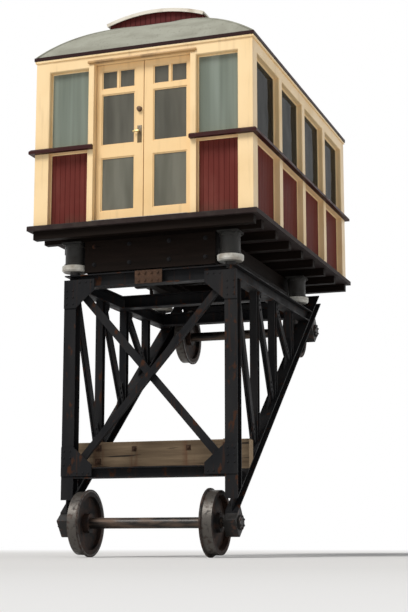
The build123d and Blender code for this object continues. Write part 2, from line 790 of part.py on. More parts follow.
def dome(inset):
    # Low arched roof with rounded ends: an arch across the car, met by a longer profile along it
    half = wall_outer + roof_reach - inset
    rise = roof_rise - inset
    crest = rise + roof_crest
    start = cabin_front - roof_reach + inset
    stop = cabin_back + roof_reach - inset
    end_run = roof_end_length - inset
    with BuildPart() as arch:
        with BuildSketch(Plane.XZ.offset(-start)):
            with BuildLine():
                ThreePointArc((-half, eaves_top), (0, eaves_top + rise), (half, eaves_top))
                Line((half, eaves_top), (-half, eaves_top))
            make_face()
        extrude(amount=-(stop - start))
    end_radius = (end_run ** 2 + crest ** 2) / (2 * crest)
    half_turn = atan(end_run / (end_radius - crest)) / 2
    arc_y = end_run - end_radius * sin(half_turn)
    arc_z = crest - end_radius * (1 - cos(half_turn))
    with BuildPart() as along:
        with BuildSketch(Plane.YZ.offset(-half)):
            with BuildLine():
                ThreePointArc((start, eaves_top), (start + arc_y, eaves_top + arc_z),
                              (start + end_run, eaves_top + crest))
                Line((start + end_run, eaves_top + crest), (stop - end_run, eaves_top + crest))
                ThreePointArc((stop - end_run, eaves_top + crest), (stop - arc_y, eaves_top + arc_z),
                              (stop, eaves_top))
                Line((stop, eaves_top), (start, eaves_top))
            make_face()
        extrude(amount=2 * half)
    return arch.part & along.part


# Roof skin
roof_outside = dome(0)
roof_inside = dome(roof_thick)
with BuildPart() as roof:
    add(roof_outside)
    add(roof_inside, mode=Mode.SUBTRACT)
finish(roof, "roof")

# Monitor along the roof: its walls, cut to the roof and to the arch, and its arched top
monitor_length = cabin_length - 2 * monitor_setback
monitor_spring = eaves_top + monitor_height
monitor_edge = monitor_half + monitor_reach
with BuildPart() as under_arch:
    with BuildSketch(Plane.XZ.offset(-cabin_front)):
        with BuildLine():
            ThreePointArc((-monitor_edge, monitor_spring), (0, monitor_spring + monitor_rise),
                          (monitor_edge, monitor_spring))
            Polyline((monitor_edge, monitor_spring), (monitor_edge, eaves_top),
                     (-monitor_edge, eaves_top), (-monitor_edge, monitor_spring))
        make_face()
    extrude(amount=-cabin_length)

with BuildPart() as monitor_walls:
    with BuildSketch(Plane.XY.offset(eaves_top + monitor_foot)):
        with Locations((0, cabin_middle)):
            Rectangle(2 * monitor_half, monitor_length)
            Rectangle(2 * (monitor_half - monitor_wall), monitor_length - 2 * monitor_wall,
                      mode=Mode.SUBTRACT)
    extrude(amount=monitor_height - monitor_foot + monitor_rise)
    add(under_arch.part, mode=Mode.INTERSECT)
    add(roof_outside, mode=Mode.SUBTRACT)
finish(monitor_walls, "monitor_walls")

with BuildPart() as monitor_top:
    with BuildSketch(Plane.XZ.offset(-(cabin_front + monitor_setback - monitor_reach))):
        with BuildLine():
            ThreePointArc((-monitor_edge, monitor_spring), (0, monitor_spring + monitor_rise),
                          (monitor_edge, monitor_spring))
            Line((monitor_edge, monitor_spring), (monitor_edge, monitor_spring + monitor_skin))
            ThreePointArc((monitor_edge, monitor_spring + monitor_skin),
                          (0, monitor_spring + monitor_rise + monitor_skin),
                          (-monitor_edge, monitor_spring + monitor_skin))
            Line((-monitor_edge, monitor_spring + monitor_skin), (-monitor_edge, monitor_spring))
        make_face()
    extrude(amount=-(monitor_length + 2 * monitor_reach))
finish(monitor_top, "monitor_top")

print("slope, degrees:", round(degrees(slope), 2), "floor height:", round(floor_height, 3))
print("axle centres:", axle_low, axle_high)
print("rope eyes:", eye_offset, eye_centre)
print("hinges at x", hinge_x, "y", cabin_front + hinge_y, cabin_back - hinge_y)
print("rear mounting", rear_mounting, "wall top", wall_top, "windows", window_low, window_high)
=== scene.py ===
from math import atan, cos, pi, radians, sin

import bmesh
import bpy
from mathutils import Matrix, Vector


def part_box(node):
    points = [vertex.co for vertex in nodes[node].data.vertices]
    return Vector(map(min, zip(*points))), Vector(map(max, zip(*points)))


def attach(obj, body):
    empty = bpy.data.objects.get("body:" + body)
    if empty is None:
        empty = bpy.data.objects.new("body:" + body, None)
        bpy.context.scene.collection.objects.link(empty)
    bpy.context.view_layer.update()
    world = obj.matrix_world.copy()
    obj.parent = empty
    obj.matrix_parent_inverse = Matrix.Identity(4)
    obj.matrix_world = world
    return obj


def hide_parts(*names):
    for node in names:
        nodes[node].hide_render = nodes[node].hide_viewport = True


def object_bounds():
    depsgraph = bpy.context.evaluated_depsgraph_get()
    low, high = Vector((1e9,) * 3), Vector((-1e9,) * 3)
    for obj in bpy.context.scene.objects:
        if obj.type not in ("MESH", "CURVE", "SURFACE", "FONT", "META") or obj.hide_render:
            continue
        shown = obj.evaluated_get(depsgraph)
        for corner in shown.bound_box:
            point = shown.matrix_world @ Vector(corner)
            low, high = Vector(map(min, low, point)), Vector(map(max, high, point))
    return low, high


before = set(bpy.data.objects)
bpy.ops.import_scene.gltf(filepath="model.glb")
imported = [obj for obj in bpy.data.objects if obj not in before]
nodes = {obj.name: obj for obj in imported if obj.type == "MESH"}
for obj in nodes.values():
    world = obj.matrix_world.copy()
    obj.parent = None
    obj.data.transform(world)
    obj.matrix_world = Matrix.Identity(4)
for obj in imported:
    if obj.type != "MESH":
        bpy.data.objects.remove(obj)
cad_low, cad_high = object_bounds()


# Wheels and axles.
# Rolled steel wheels pressed on to turned axles. The webs rust and pick up grease and brake dust,
# while the treads and the flanges are worn bright by the rails.
def start_material(name, roughness=0.5, metallic=0.0, specular=0.5, alpha=1.0):
    material = bpy.data.materials.new(name)
    material.use_nodes = True
    inputs = material.node_tree.nodes["Principled BSDF"].inputs
    inputs["Roughness"].default_value = roughness
    inputs["Metallic"].default_value = metallic
    inputs["Specular IOR Level"].default_value = specular
    inputs["Alpha"].default_value = alpha
    return material, material.node_tree


def on_object(tree, stretch=(1, 1, 1), shift=(0, 0, 0)):
    # Object coordinates, stretched so that a pattern runs along the grain or down the surface
    coordinates = tree.nodes.new("ShaderNodeTexCoord")
    mapping = tree.nodes.new("ShaderNodeMapping")
    mapping.inputs["Scale"].default_value = stretch
    mapping.inputs["Location"].default_value = shift
    tree.links.new(coordinates.outputs["Object"], mapping.inputs["Vector"])
    return mapping.outputs["Vector"]


def spread(tree, value, low, high, at_low=0.0, at_high=1.0):
    # A number that runs from at_low to at_high as the value goes from low to high
    node = tree.nodes.new("ShaderNodeMapRange")
    for socket, number in zip(node.inputs[1:5], (low, high, at_low, at_high)):
        socket.default_value = number
    tree.links.new(value, node.inputs["Value"])
    return node.outputs["Result"]


def patches(tree, scale, stretch=(1, 1, 1), low=0.35, high=0.65, detail=5, shift=(0, 0, 0)):
    # Soft-edged patches from 0 to 1
    noise = tree.nodes.new("ShaderNodeTexNoise")
    noise.inputs["Scale"].default_value = scale
    noise.inputs["Detail"].default_value = detail
    tree.links.new(on_object(tree, stretch, shift), noise.inputs["Vector"])
    return spread(tree, noise.outputs["Fac"], low, high)


def combine(tree, operation, first, second=0.0, clamp=True):
    # Arithmetic on two values, each a socket or a number, held between 0 and 1 unless clamp is off
    node = tree.nodes.new("ShaderNodeMath")
    node.operation = operation
    node.use_clamp = clamp
    for socket, value in zip(node.inputs, (first, second)):
        if isinstance(value, (int, float)):
            socket.default_value = value
        else:
            tree.links.new(value, socket)
    return node.outputs["Value"]


def product(tree, first, second):
    return combine(tree, "MULTIPLY", first, second)


def coats(tree, colour, *layers):
    # A colour under further coats, each with its own colour, its amount from 0 to 1 and maybe a share of that
    for above, amount, *share in layers:
        node = tree.nodes.new("ShaderNodeMix")
        node.data_type = "RGBA"
        tree.links.new(product(tree, amount, *share) if share else amount, node.inputs["Factor"])
        for socket, value in ((node.inputs["A"], colour), (node.inputs["B"], above)):
            if isinstance(value, tuple):
                socket.default_value = (*value, 1)
            else:
                tree.links.new(value, socket)
        colour = node.outputs["Result"]
    return colour


def dress(material, colour=None, rough=None, height=None, depth=0.0):
    # Gives a material its colour, its roughness where a value varies it, and a relief with a depth in metres
    tree = material.node_tree
    shader = tree.nodes["Principled BSDF"]
    if colour is not None:
        tree.links.new(colour, shader.inputs["Base Color"])
    if rough is not None:
        value, at_zero, at_one = rough
        tree.links.new(spread(tree, value, 0, 1, at_zero, at_one), shader.inputs["Roughness"])
    if height is not None:
        bump = tree.nodes.new("ShaderNodeBump")
        bump.inputs["Distance"].default_value = depth
        tree.links.new(height, bump.inputs["Height"])
        tree.links.new(bump.outputs["Normal"], shader.inputs["Normal"])
    return material


def grit(tree, scale, stretch=(1, 1, 1)):
    # The fine unevenness of a surface
    return patches(tree, scale, stretch, 0.2, 0.8)


def axis_value(tree, axis):
    # The place along one axis, in metres
    node = tree.nodes.new("ShaderNodeSeparateXYZ")
    tree.links.new(on_object(tree), node.inputs["Vector"])
    return node.outputs[axis]


def finish_node(name, material):
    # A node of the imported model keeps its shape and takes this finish
    mesh = nodes[name].data
    mesh.materials.clear()
    mesh.materials.append(material)


def length_of(tree, vector):
    node = tree.nodes.new("ShaderNodeVectorMath")
    node.operation = "LENGTH"
    tree.links.new(vector, node.inputs[0])
    return node.outputs["Value"]


def wheel_finish(name, axle_centre, tread_radius):
    material, tree = start_material(name, metallic=0.4, specular=0.3)
    radius = length_of(tree, on_object(tree, (0, 1, 1), (0, -axle_centre.y, -axle_centre.z)))
    tread = spread(tree, radius, tread_radius - 0.004, tread_radius - 0.001)
    flange = product(tree, spread(tree, radius, tread_radius + 0.004, tread_radius + 0.014), 0.65)
    spots = product(tree, patches(tree, 22, low=0.50, high=0.66, detail=8), 0.7)
    worn = combine(tree, "SUBTRACT", combine(tree, "SUBTRACT", tread, flange), spots)
    steel = coats(tree, (0.060, 0.031, 0.021), ((0.013, 0.012, 0.012), patches(tree, 9, low=0.3, high=0.6)),
                  ((0.082, 0.074, 0.066), worn))
    return dress(material, steel, (worn, 0.72, 0.40), grit(tree, 60), 0.0008)


axle_steel, tree = start_material("oily_axle", metallic=0.6)
oil = patches(tree, 6, (0.6, 3, 3), 0.35, 0.6)
dress(axle_steel, coats(tree, (0.11, 0.075, 0.055), ((0.018, 0.016, 0.015), oil)), (oil, 0.65, 0.35),
      grit(tree, 90, (0.2, 1, 1)), 0.0004)
flange_height = 0.025
axle_centres = {}
for end in ("lower", "upper"):
    low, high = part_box(f"{end}_axle")
    axle_centres[end] = (Vector(low) + Vector(high)) / 2
    low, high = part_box(f"{end}_wheels")
    tread_radius = (high[2] - low[2]) / 2 - flange_height
    finish_node(f"{end}_wheels", wheel_finish(f"worn_wheel_{end}", axle_centres[end], tread_radius))
    finish_node(f"{end}_axle", axle_steel)


# Axle boxes.
# Cast-iron boxes bolted under the lower chords, black with grease. Six bolts hold each round cover.
def put_in_scene(name, data):
    thing = bpy.data.objects.new(name, data)
    bpy.context.scene.collection.objects.link(thing)
    return thing


def add_piece(name, shape, body, material, smooth_below=35):
    # A new piece from a bmesh, smooth where its faces meet at less than an angle
    bmesh.ops.recalc_face_normals(shape, faces=shape.faces)
    mesh = bpy.data.meshes.new(name)
    shape.to_mesh(mesh)
    shape.free()
    mesh.polygons.foreach_set("use_smooth", [True] * len(mesh.polygons))
    mesh.set_sharp_from_angle(angle=radians(smooth_below))
    mesh.materials.append(material)
    piece = put_in_scene(name, mesh)
    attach(piece, body)
    return piece


def facing(centre, outward):
    # A place on a surface, its Z axis along the surface's outward direction
    return Matrix.Translation(centre) @ Vector(outward).to_track_quat("Z", "Y").to_matrix().to_4x4()


def add_disc(shape, place, start, thick, radius, top_radius=None, segments=12):
    # A cylinder or a cone along the place's Z axis, from a start above it
    top = radius if top_radius is None else top_radius
    bmesh.ops.create_cone(shape, cap_ends=True, segments=segments, radius1=radius, radius2=top, depth=thick,
                          matrix=place @ Matrix.Translation((0, 0, start + thick / 2)))


def add_bolt(shape, centre, outward, across):
    # A hexagon head with a chamfered top, on a round washer
    place = facing(centre, outward)
    washer = across * 0.12
    add_disc(shape, place, 0, washer, across * 0.8)
    add_disc(shape, place, washer, across * 0.42, across * 0.56, segments=6)
    add_disc(shape, place, washer + across * 0.42, across * 0.12, across * 0.56, across * 0.44, segments=6)


cast_iron, tree = start_material("greasy_cast_iron", specular=0.3)
grime = patches(tree, 7, low=0.35, high=0.62)
rusty = patches(tree, 16, low=0.56, high=0.70, shift=(3, 1, 2))
iron = coats(tree, (0.020, 0.019, 0.019), ((0.008, 0.007, 0.006), grime), ((0.060, 0.026, 0.015), rusty))
dress(cast_iron, iron, (grime, 0.62, 0.38), grit(tree, 120), 0.0010)
finish_node("axle_boxes", cast_iron)
cover_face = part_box("axle_boxes")[1].x
cover_bolts = 6
cover_bolt_ring = 0.066
cover_bolt_size = 0.020
shape = bmesh.new()
for centre in axle_centres.values():
    for hand in (-1, 1):
        for i in range(cover_bolts):
            turn = 2 * pi * (i + 0.5) / cover_bolts
            spot = Vector((hand * cover_face, cover_bolt_ring * cos(turn), cover_bolt_ring * sin(turn)))
            add_bolt(shape, centre + spot, (hand, 0, 0), cover_bolt_size)
add_piece("axle_cover_bolts", shape, "car", cast_iron)


# Steel chassis.
# Rolled beams, angles and flats, riveted together through gusset plates and brushed with black paint
# that lets rust through at the joints. Its lighter bluish-grey patches are partly dust and partly a painted
# highlight.
chassis_paint, tree = start_material("weathered_black_paint", specular=0.06)
# Lighter bluish-grey patches, laid at random: partly dust, partly a painted highlight
dust = patches(tree, 3.5, (1, 1, 0.35), 0.35, 0.70)
rust = patches(tree, 11, (1, 1, 0.5), 0.61, 0.68, 8)
runs = patches(tree, 26, (1, 1, 0.06), 0.60, 0.72, 4)
paint = coats(tree, (0.009, 0.0095, 0.011), ((0.021, 0.0205, 0.021), dust),
              ((0.048, 0.021, 0.012), combine(tree, "MAXIMUM", rust, product(tree, runs, 0.55))))
dress(chassis_paint, paint, (combine(tree, "MAXIMUM", rust, dust), 0.42, 0.75),
      combine(tree, "ADD", grit(tree, 70), rust), 0.0009)
for side in ("left", "right"):
    for name in ("leg", "low_chord", "top_chord", "uprights", "diagonals"):
        finish_node(f"{side}_{name}", chassis_paint)
for name in ("cross_beams", "front_brace_a", "front_brace_b", "drawbeam"):
    finish_node(name, chassis_paint)


# Rivets of the side trusses.
# Round-headed steel rivets, driven hot, hold the gusset plates and the ends of the diagonals on both faces.
rail_rise = ((axle_centres["upper"].z - axle_centres["lower"].z)
             / (axle_centres["upper"].y - axle_centres["lower"].y))
leg_low, leg_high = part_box("right_leg")
chord_low, chord_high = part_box("right_low_chord")
top_low, top_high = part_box("right_top_chord")
frame_middle = (chord_low.x + chord_high.x) / 2
low_chord_depth = 0.140
leg_width = 0.150
upright_width = 0.100
upright_count = 3
gusset_half = 0.007
diagonal_thick = 0.022
rivet_radius = 0.015
small_rivet_radius = 0.012
diagonal_inset = 0.012
diagonal_rivets = (0.10, 0.16, 0.22)  # from each end of a diagonal
gusset_rivets = (0.12, 0.18)  # from the upright at each corner of a bay
leg_front = leg_low.y
leg_back = leg_front + leg_width
chord_top = chord_low.z + low_chord_depth / cos(atan(rail_rise))  # at the legs' downhill face


def chord_top_at(y):
    return chord_top + (y - leg_front) * rail_rise


def add_rivet(shape, centre, outward, radius=rivet_radius):
    place = facing(centre, outward)
    add_disc(shape, place, 0, radius * 0.45, radius, radius * 0.80, 10)
    add_disc(shape, place, radius * 0.45, radius * 0.25, radius * 0.80, radius * 0.35, 10)


meet_low = leg_front + (top_low.z - chord_top) / rail_rise
bay_length = (meet_low - leg_back) / (upright_count + 1)
upright_lines = [leg_back + bay_length * (i + 1) for i in range(upright_count)]
bay_starts = [leg_back] + [line + upright_width / 2 for line in upright_lines]
shape = bmesh.new()
for hand in (-1, 1):
    for face in (-1, 1):
        plate_x = hand * frame_middle + face * gusset_half
        flat_x = hand * frame_middle + face * (gusset_half + diagonal_thick)
        for start, line in zip(bay_starts, upright_lines):
            stop = line - upright_width / 2
            head = Vector((flat_x, start + diagonal_inset, top_low.z))
            foot = Vector((flat_x, stop - diagonal_inset, chord_top_at(stop - diagonal_inset)))
            lean = (foot - head).normalized()
            for step in diagonal_rivets:
                add_rivet(shape, head + lean * step, (face, 0, 0))
                add_rivet(shape, foot - lean * step, (face, 0, 0))
            for step in gusset_rivets:
                for spot in ((plate_x, start + step, top_low.z - 0.03),
                             (plate_x, stop - step, chord_top_at(stop - step) + 0.035)):
                    add_rivet(shape, spot, (face, 0, 0), small_rivet_radius)
add_piece("truss_rivets", shape, "car", chassis_paint)


# Corner plates of the front frame.
# Flat steel plates riveted over the four corners, where the legs, the beams and the crossed braces meet.
def add_plate(shape, corners, thickness):
    # A flat plate from the corners of one face and the vector of its thickness
    face = shape.faces.new([shape.verts.new(corner) for corner in corners])
    grown = bmesh.ops.extrude_face_region(shape, geom=[face], use_keep_orig=True)
    moved = [part for part in grown["geom"] if isinstance(part, bmesh.types.BMVert)]
    bmesh.ops.translate(shape, vec=thickness, verts=moved)


brace_low, brace_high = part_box("front_brace_a")
leg_outer = leg_high.x
corner_reach = 0.24
corner_thick = 0.012
beam_overlap = 0.10
corner_rivet_radius = 0.013
leg_rivet_lines = (0.035, 0.115)  # from the leg's outer edge
leg_rivet_rows = (0.03, 0.11, 0.19)  # from the beam
beam_rivets = (0.05, 0.13, 0.20)  # from the leg
plate_margin = 0.035
face_y = leg_front - corner_thick
shape = bmesh.new()
for hand in (-1, 1):
    for level, toward in ((brace_high.z, -1), (brace_low.z, 1)):
        outer = hand * leg_outer
        inner = hand * (brace_high.x - corner_reach)
        foot = level + toward * corner_reach
        past = level - toward * beam_overlap
        outline = [(outer, past), (inner, past), (inner, level + toward * 0.03),
                   (hand * brace_high.x, foot), (outer, foot)]
        add_plate(shape, [(x, leg_front, z) for x, z in outline], (0, -corner_thick, 0))
        spots = [(outer - hand * across, level + toward * step)
                 for step in leg_rivet_rows for across in leg_rivet_lines]
        spots += [(hand * (brace_high.x - step), past + toward * plate_margin) for step in beam_rivets]
        for x, z in spots:
            add_rivet(shape, (x, face_y, z), (0, -1, 0), corner_rivet_radius)
add_piece("front_corner_plates", shape, "car", chassis_paint)


# Joint plate on the upper front beam.
# A bare steel plate, brown with rust, bolted over the beam's joint in the middle of the car.
def round_edges(shape, edges, offset, segments):
    bmesh.ops.bevel(shape, geom=edges, offset=offset, segments=segments, profile=0.5,
                    affect="EDGES", material=-1)


def add_block(shape, corner, opposite, edge=0.0, segments=2):
    # A squared block between two opposite corners, its edges rounded by an amount
    corner, opposite = Vector(corner), Vector(opposite)
    size = [abs(part) for part in opposite - corner]
    place = Matrix.Translation((corner + opposite) / 2) @ Matrix.Diagonal((*size, 1))
    made = bmesh.ops.create_cube(shape, size=1, matrix=place)["verts"]
    edges = [e for v in made for e in v.link_edges if e.verts[0] == v]
    if edge:
        round_edges(shape, edges, edge, segments)
    return edges


rusty_steel, tree = start_material("bare_rusty_steel", roughness=0.85, specular=0.25)
flakes = patches(tree, 14, low=0.35, high=0.65, detail=8)
fine = patches(tree, 90, low=0.3, high=0.7)
rust = coats(tree, (0.056, 0.028, 0.017), ((0.026, 0.015, 0.011), flakes), ((0.13, 0.070, 0.036), fine, 0.4))
dress(rusty_steel, rust, height=combine(tree, "ADD", flakes, fine), depth=0.0015)
joint_half = 0.17
joint_thick = 0.020
joint_margin = 0.035
joint_bolts = (-0.12, -0.04, 0.04, 0.12)
joint_bolt_size = 0.026
joint_face = leg_front - joint_thick
shape = bmesh.new()
add_block(shape, (-joint_half, joint_face, top_low.z + 0.002),
          (joint_half, leg_front, top_high.z - 0.002), 0.004)
for x in joint_bolts:
    for z in (top_low.z + joint_margin, top_high.z - joint_margin):
        add_bolt(shape, (x, joint_face, z), (0, -1, 0), joint_bolt_size)
add_piece("beam_joint_plate", shape, "car", rusty_steel)


# Timber beam.
# A squared hardwood balk laid across the lower chords, weathered to a pale brown, with checks along its
# grain. Long bolts with square washers hold it down at each end, and rust has run from them.
def shade(colour, share):
    return tuple(share * part for part in colour)


def timber_finish(name, pale, dark, stretch, rough=0.8, specular=0.3, sound=0.64):
    # Wood with its grain along the axis that is stretched least; the sounder it is, the fewer its dark checks
    material, tree = start_material(name, roughness=rough, specular=specular)
    grain = patches(tree, 5, stretch, 0.30, 0.72, 8)
    fine = patches(tree, 22, stretch, 0.35, 0.65, 4)
    checks = patches(tree, 9, stretch, sound, sound + 0.04, 3, (2, 5, 1))
    colour = coats(tree, dark, (pale, grain), (shade(dark, 0.75), fine, 0.35), (shade(dark, 0.15), checks))
    dress(material, height=combine(tree, "SUBTRACT", fine, checks), depth=0.0012)
    return material, tree, colour


def from_middle(tree):
    # How far a point is from the car's middle plane
    return combine(tree, "ABSOLUTE", axis_value(tree, 0), clamp=False)


def add_plated_bolt(shape, place, outward, half, thick, size):
    # A bolt on a square plate, whose sides lie along the axes
    place, outward = Vector(place), Vector(outward)
    flat = Vector(half * (1 - abs(part)) for part in outward)
    add_block(shape, place - flat, place + flat + outward * thick, 0.002, 1)
    add_bolt(shape, place + outward * thick, outward, size)


timber_low, timber_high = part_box("timber_beam")
end_bolt_x = 0.80
mid_bolt_x = 0.34
balk, tree, colour = timber_finish("weathered_balk", (0.235, 0.170, 0.105), (0.100, 0.066, 0.038),
                                   (0.12, 2.2, 2.2))
near_bolt = []
for x in (end_bolt_x, mid_bolt_x):
    beside = combine(tree, "SUBTRACT", from_middle(tree), x, clamp=False)
    near_bolt.append(spread(tree, combine(tree, "ABSOLUTE", beside, clamp=False), 0.09, 0.02))
streaks = patches(tree, 20, (1, 1, 0.10), 0.42, 0.62, 3)
rust_runs = product(tree, combine(tree, "MAXIMUM", *near_bolt), streaks)
# The end faces are painted paler than the sides, with rings: a painted highlight on the end grain
end_grain = spread(tree, from_middle(tree), timber_high.x - 0.004, timber_high.x - 0.001)
rings = tree.nodes.new("ShaderNodeTexWave")
rings.wave_type = "RINGS"
rings.rings_direction = "X"
rings.inputs["Scale"].default_value = 22
rings.inputs["Distortion"].default_value = 3
heart = (0, -timber_low.y - 0.04, 0.2 - timber_low.z)
tree.links.new(on_object(tree, shift=heart), rings.inputs["Vector"])
end_grain_painted_highlight = coats(tree, (0.36, 0.265, 0.165), ((0.27, 0.185, 0.108), rings.outputs["Fac"]))
dress(balk, coats(tree, colour, ((0.10, 0.042, 0.020), rust_runs, 0.8), (end_grain_painted_highlight, end_grain)))
finish_node("timber_beam", balk)
beam_middle = (timber_low.y + timber_high.y) / 2
face, up = (0, -1, 0), (0, 0, 1)
shape = bmesh.new()
for hand in (-1, 1):
    middle_bolt = (hand * mid_bolt_x, timber_low.y, timber_high.z - 0.085)
    add_plated_bolt(shape, middle_bolt, face, 0.030, 0.006, 0.030)
    for z in (timber_low.z + 0.11, timber_high.z - 0.07):
        add_plated_bolt(shape, (hand * end_bolt_x, timber_low.y, z), face, 0.038, 0.008, 0.034)
    add_plated_bolt(shape, (hand * end_bolt_x, beam_middle, timber_high.z), up, 0.045, 0.010, 0.038)
add_piece("timber_beam_bolts", shape, "car", rusty_steel)


# Cabin mountings.
# Cast drums, painted grey, hang from square plates that are bolted to the floor bearers. Each stands on a
# pale disc of hard rubber on an iron spigot, and a collar closes the joint.
def worn_paint(name, colour, dirt, roughness, dirt_low=0.52, specular=0.5):
    material, tree = start_material(name, specular=specular)
    dust = patches(tree, 5, low=dirt_low, high=dirt_low + 0.22)
    return dress(material, coats(tree, colour, (dirt, dust)), (dust, roughness, roughness + 0.3),
                 grit(tree, 90), 0.0003)


def add_turned(shape, place, profile, segments):
    # A turned form: the profile is a list of radius and height, spun about the place's Z axis. It starts and
    # ends on the axis, or else it is closed into a ring.
    points = [shape.verts.new(place @ Vector((radius, 0, height))) for radius, height in profile]
    edges = [shape.edges.new(pair) for pair in zip(points, points[1:])]
    if profile[0][0]:
        edges.append(shape.edges.new((points[-1], points[0])))
    axis = place.to_3x3() @ Vector((0, 0, 1))
    bmesh.ops.spin(shape, geom=points + edges, cent=place.translation, axis=axis, angle=2 * pi,
                   steps=segments, use_merge=True)
    poles = [vertex for vertex in shape.verts if (place.inverted() @ vertex.co).to_2d().length < 1e-5]
    bmesh.ops.remove_doubles(shape, verts=poles, dist=1e-5)


mounting_grey = worn_paint("grey_drum_paint", (0.029, 0.028, 0.026), (0.018, 0.015, 0.013), 0.38,
                           specular=0.20)
finish_node("mounting_housings", mounting_grey)
spigot_height = 0.045
discs, tree = start_material("pale_rubber_on_iron_spigots", roughness=0.55, specular=0.35)
rubber = coats(tree, (0.60, 0.59, 0.54), ((0.27, 0.235, 0.19), patches(tree, 5, low=0.46, high=0.68)))
spigot_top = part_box("mounting_discs")[0].z + spigot_height
above = spread(tree, axis_value(tree, 2), spigot_top - 0.001, spigot_top + 0.001)
dress(discs, coats(tree, (0.022, 0.020, 0.019), (rubber, above)), height=grit(tree, 90), depth=0.0004)
finish_node("mounting_discs", discs)
drums_low, drums_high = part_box("mounting_housings")
drum_radius = 0.118
drum_x = 0.980
plate_half = 0.125
plate_thick = 0.020
plate_bolt = 0.104
drum_skin = drum_radius - 0.002
shape = bmesh.new()
for y in (drums_low.y + plate_half, drums_high.y - plate_half):
    for hand in (-1, 1):
        spot = Matrix.Translation((hand * drum_x, y, 0))
        for low, reach, height in ((drums_low.z, 0.012, 0.030), (drums_high.z - 0.060, 0.008, 0.040)):
            rim = drum_radius + reach
            add_turned(shape, spot, [(drum_skin, low), (rim - 0.004, low), (rim, low + 0.004),
                                     (rim, low + height - 0.006), (drum_skin, low + height)], 40)
        for x in (hand * drum_x - plate_bolt, hand * drum_x + plate_bolt):
            for y_step in (-plate_bolt, plate_bolt):
                add_bolt(shape, (x, y + y_step, drums_high.z - plate_thick), (0, 0, -1), 0.022)
add_piece("drum_collars_and_bolts", shape, "car", mounting_grey)


# Cabin underframe.
# Hardwood bearers and a deep headstock soaked in dark preservative, on two channel solebars.
# Bolts with round washers go through the headstock.
for name, finish, stretch in (("solebars", "tarred_solebars", (1, 0.15, 1.6)),
                              ("crossbearers", "tarred_bearers", (0.15, 1, 1.6))):
    tarred, tree, colour = timber_finish(finish, (0.013, 0.008, 0.006), (0.005, 0.003, 0.002), stretch,
                                         0.65, 0.06)
    finish_node(name, dress(tarred, colour))
headstock_low, headstock_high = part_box("crossbearers")
headstock_bolts = (-0.70, -0.25, 0.25, 0.70)
headstock_bolt_size = 0.034
shape = bmesh.new()
for x in headstock_bolts:
    for z in (headstock_low.z + 0.09, headstock_high.z - 0.17):
        add_bolt(shape, (x, leg_front, z), (0, -1, 0), headstock_bolt_size)
add_piece("headstock_bolts", shape, "car", chassis_paint)


# Floor.
# Boards laid along the car, worn grey by feet. Their ends and the edge all round are painted dark,
# and a ribbed steel tread is screwed down in front of each doorway.
def between(tree, value, low, high, soft=0.002):
    # 1 where the value lies between two places, 0 outside them
    return product(tree, spread(tree, value, low, low + soft), spread(tree, value, high, high - soft))


def joints(tree, along, pitch, outer, inner):
    # 1 in the joints between strips of one width, fading from inner to outer on each side of a joint
    return spread(tree, combine(tree, "PINGPONG", along, pitch / 2, clamp=False), outer, inner)


floor_low, floor_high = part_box("floor")
wall_low, wall_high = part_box("right_wall")
wall_thick = wall_high.x - wall_low.x
sill_reach = 0.060
edge_width = sill_reach + wall_thick
inner_x = floor_high.x - edge_width
worn_floor, tree, boards = timber_finish("worn_floor_boards", (0.19, 0.14, 0.095), (0.085, 0.058, 0.040),
                                         (2, 0.12, 2), sound=0.76)
gaps = joints(tree, axis_value(tree, 0), 0.14, 0.003, 0.001)
boards = coats(tree, boards, ((0.010, 0.007, 0.005), gaps))
inside = product(tree, spread(tree, from_middle(tree), inner_x, inner_x - 0.01),
                 between(tree, axis_value(tree, 1), floor_low.y + edge_width, floor_high.y - edge_width))
upper = product(tree, inside, spread(tree, axis_value(tree, 2), floor_high.z - 0.004, floor_high.z - 0.002))
edge = coats(tree, (0.014, 0.006, 0.005), ((0.030, 0.021, 0.017), patches(tree, 9, low=0.5, high=0.75)))
finish_node("floor", dress(worn_floor, coats(tree, edge, (boards, upper))))


def steel_finish(name, colour, roughness):
    material, tree = start_material(name, metallic=0.9)
    scuffs = patches(tree, 30, (1, 6, 1), 0.4, 0.7)
    worn = coats(tree, colour, (shade(colour, 0.5), scuffs))
    return dress(material, worn, (scuffs, roughness, roughness + 0.2), scuffs, 0.0003)


tread_steel = steel_finish("scuffed_tread_steel", (0.42, 0.41, 0.39), 0.35)
tread_half = 0.600
tread_reach = sill_reach + 0.070
tread_edge = 0.004
tread_thick = 0.003
rib_half = 0.003
rib_top = floor_high.z + 0.0045
ribs = 8
tread_face = floor_high.z + tread_thick
tread_runs = ((floor_low.y + tread_edge, floor_low.y + tread_reach),
              (floor_high.y - tread_reach, floor_high.y - tread_edge))
shape = bmesh.new()
for start, stop in tread_runs:
    add_block(shape, (-tread_half, start, floor_high.z), (tread_half, stop, tread_face))
    for i in range(ribs):
        y = start + (stop - start) * (i + 0.5) / ribs
        add_block(shape, (-tread_half, y - rib_half, tread_face), (tread_half, y + rib_half, rib_top))
add_piece("doorway_treads", shape, "car", tread_steel)


# Walls.
# Hardwood posts and rails, brush-painted cream outside and varnished inside. Dirt has washed down from
# the ledges. Small rounded beads hold every pane and panel, and a drip mould shelters each doorway.
def painted_wood(name, colour):
    # Brushed gloss paint, with its slightly darker blotches and the dirt that rain leaves
    material, tree = start_material(name, specular=0.3)
    runs = patches(tree, 14, (1, 1, 0.08), 0.56, 0.80, 4)
    blotches = patches(tree, 1.6, low=0.45, high=0.75)
    faded = tuple(part * share for part, share in zip(colour, (0.90, 0.86, 0.78)))
    soiled = coats(tree, colour, (faded, blotches), ((0.45, 0.31, 0.17), runs, 0.4))
    dress(material, soiled, (blotches, 0.34, 0.50), grit(tree, 110, (1, 1, 0.12)), 0.0004)
    return material, tree, soiled


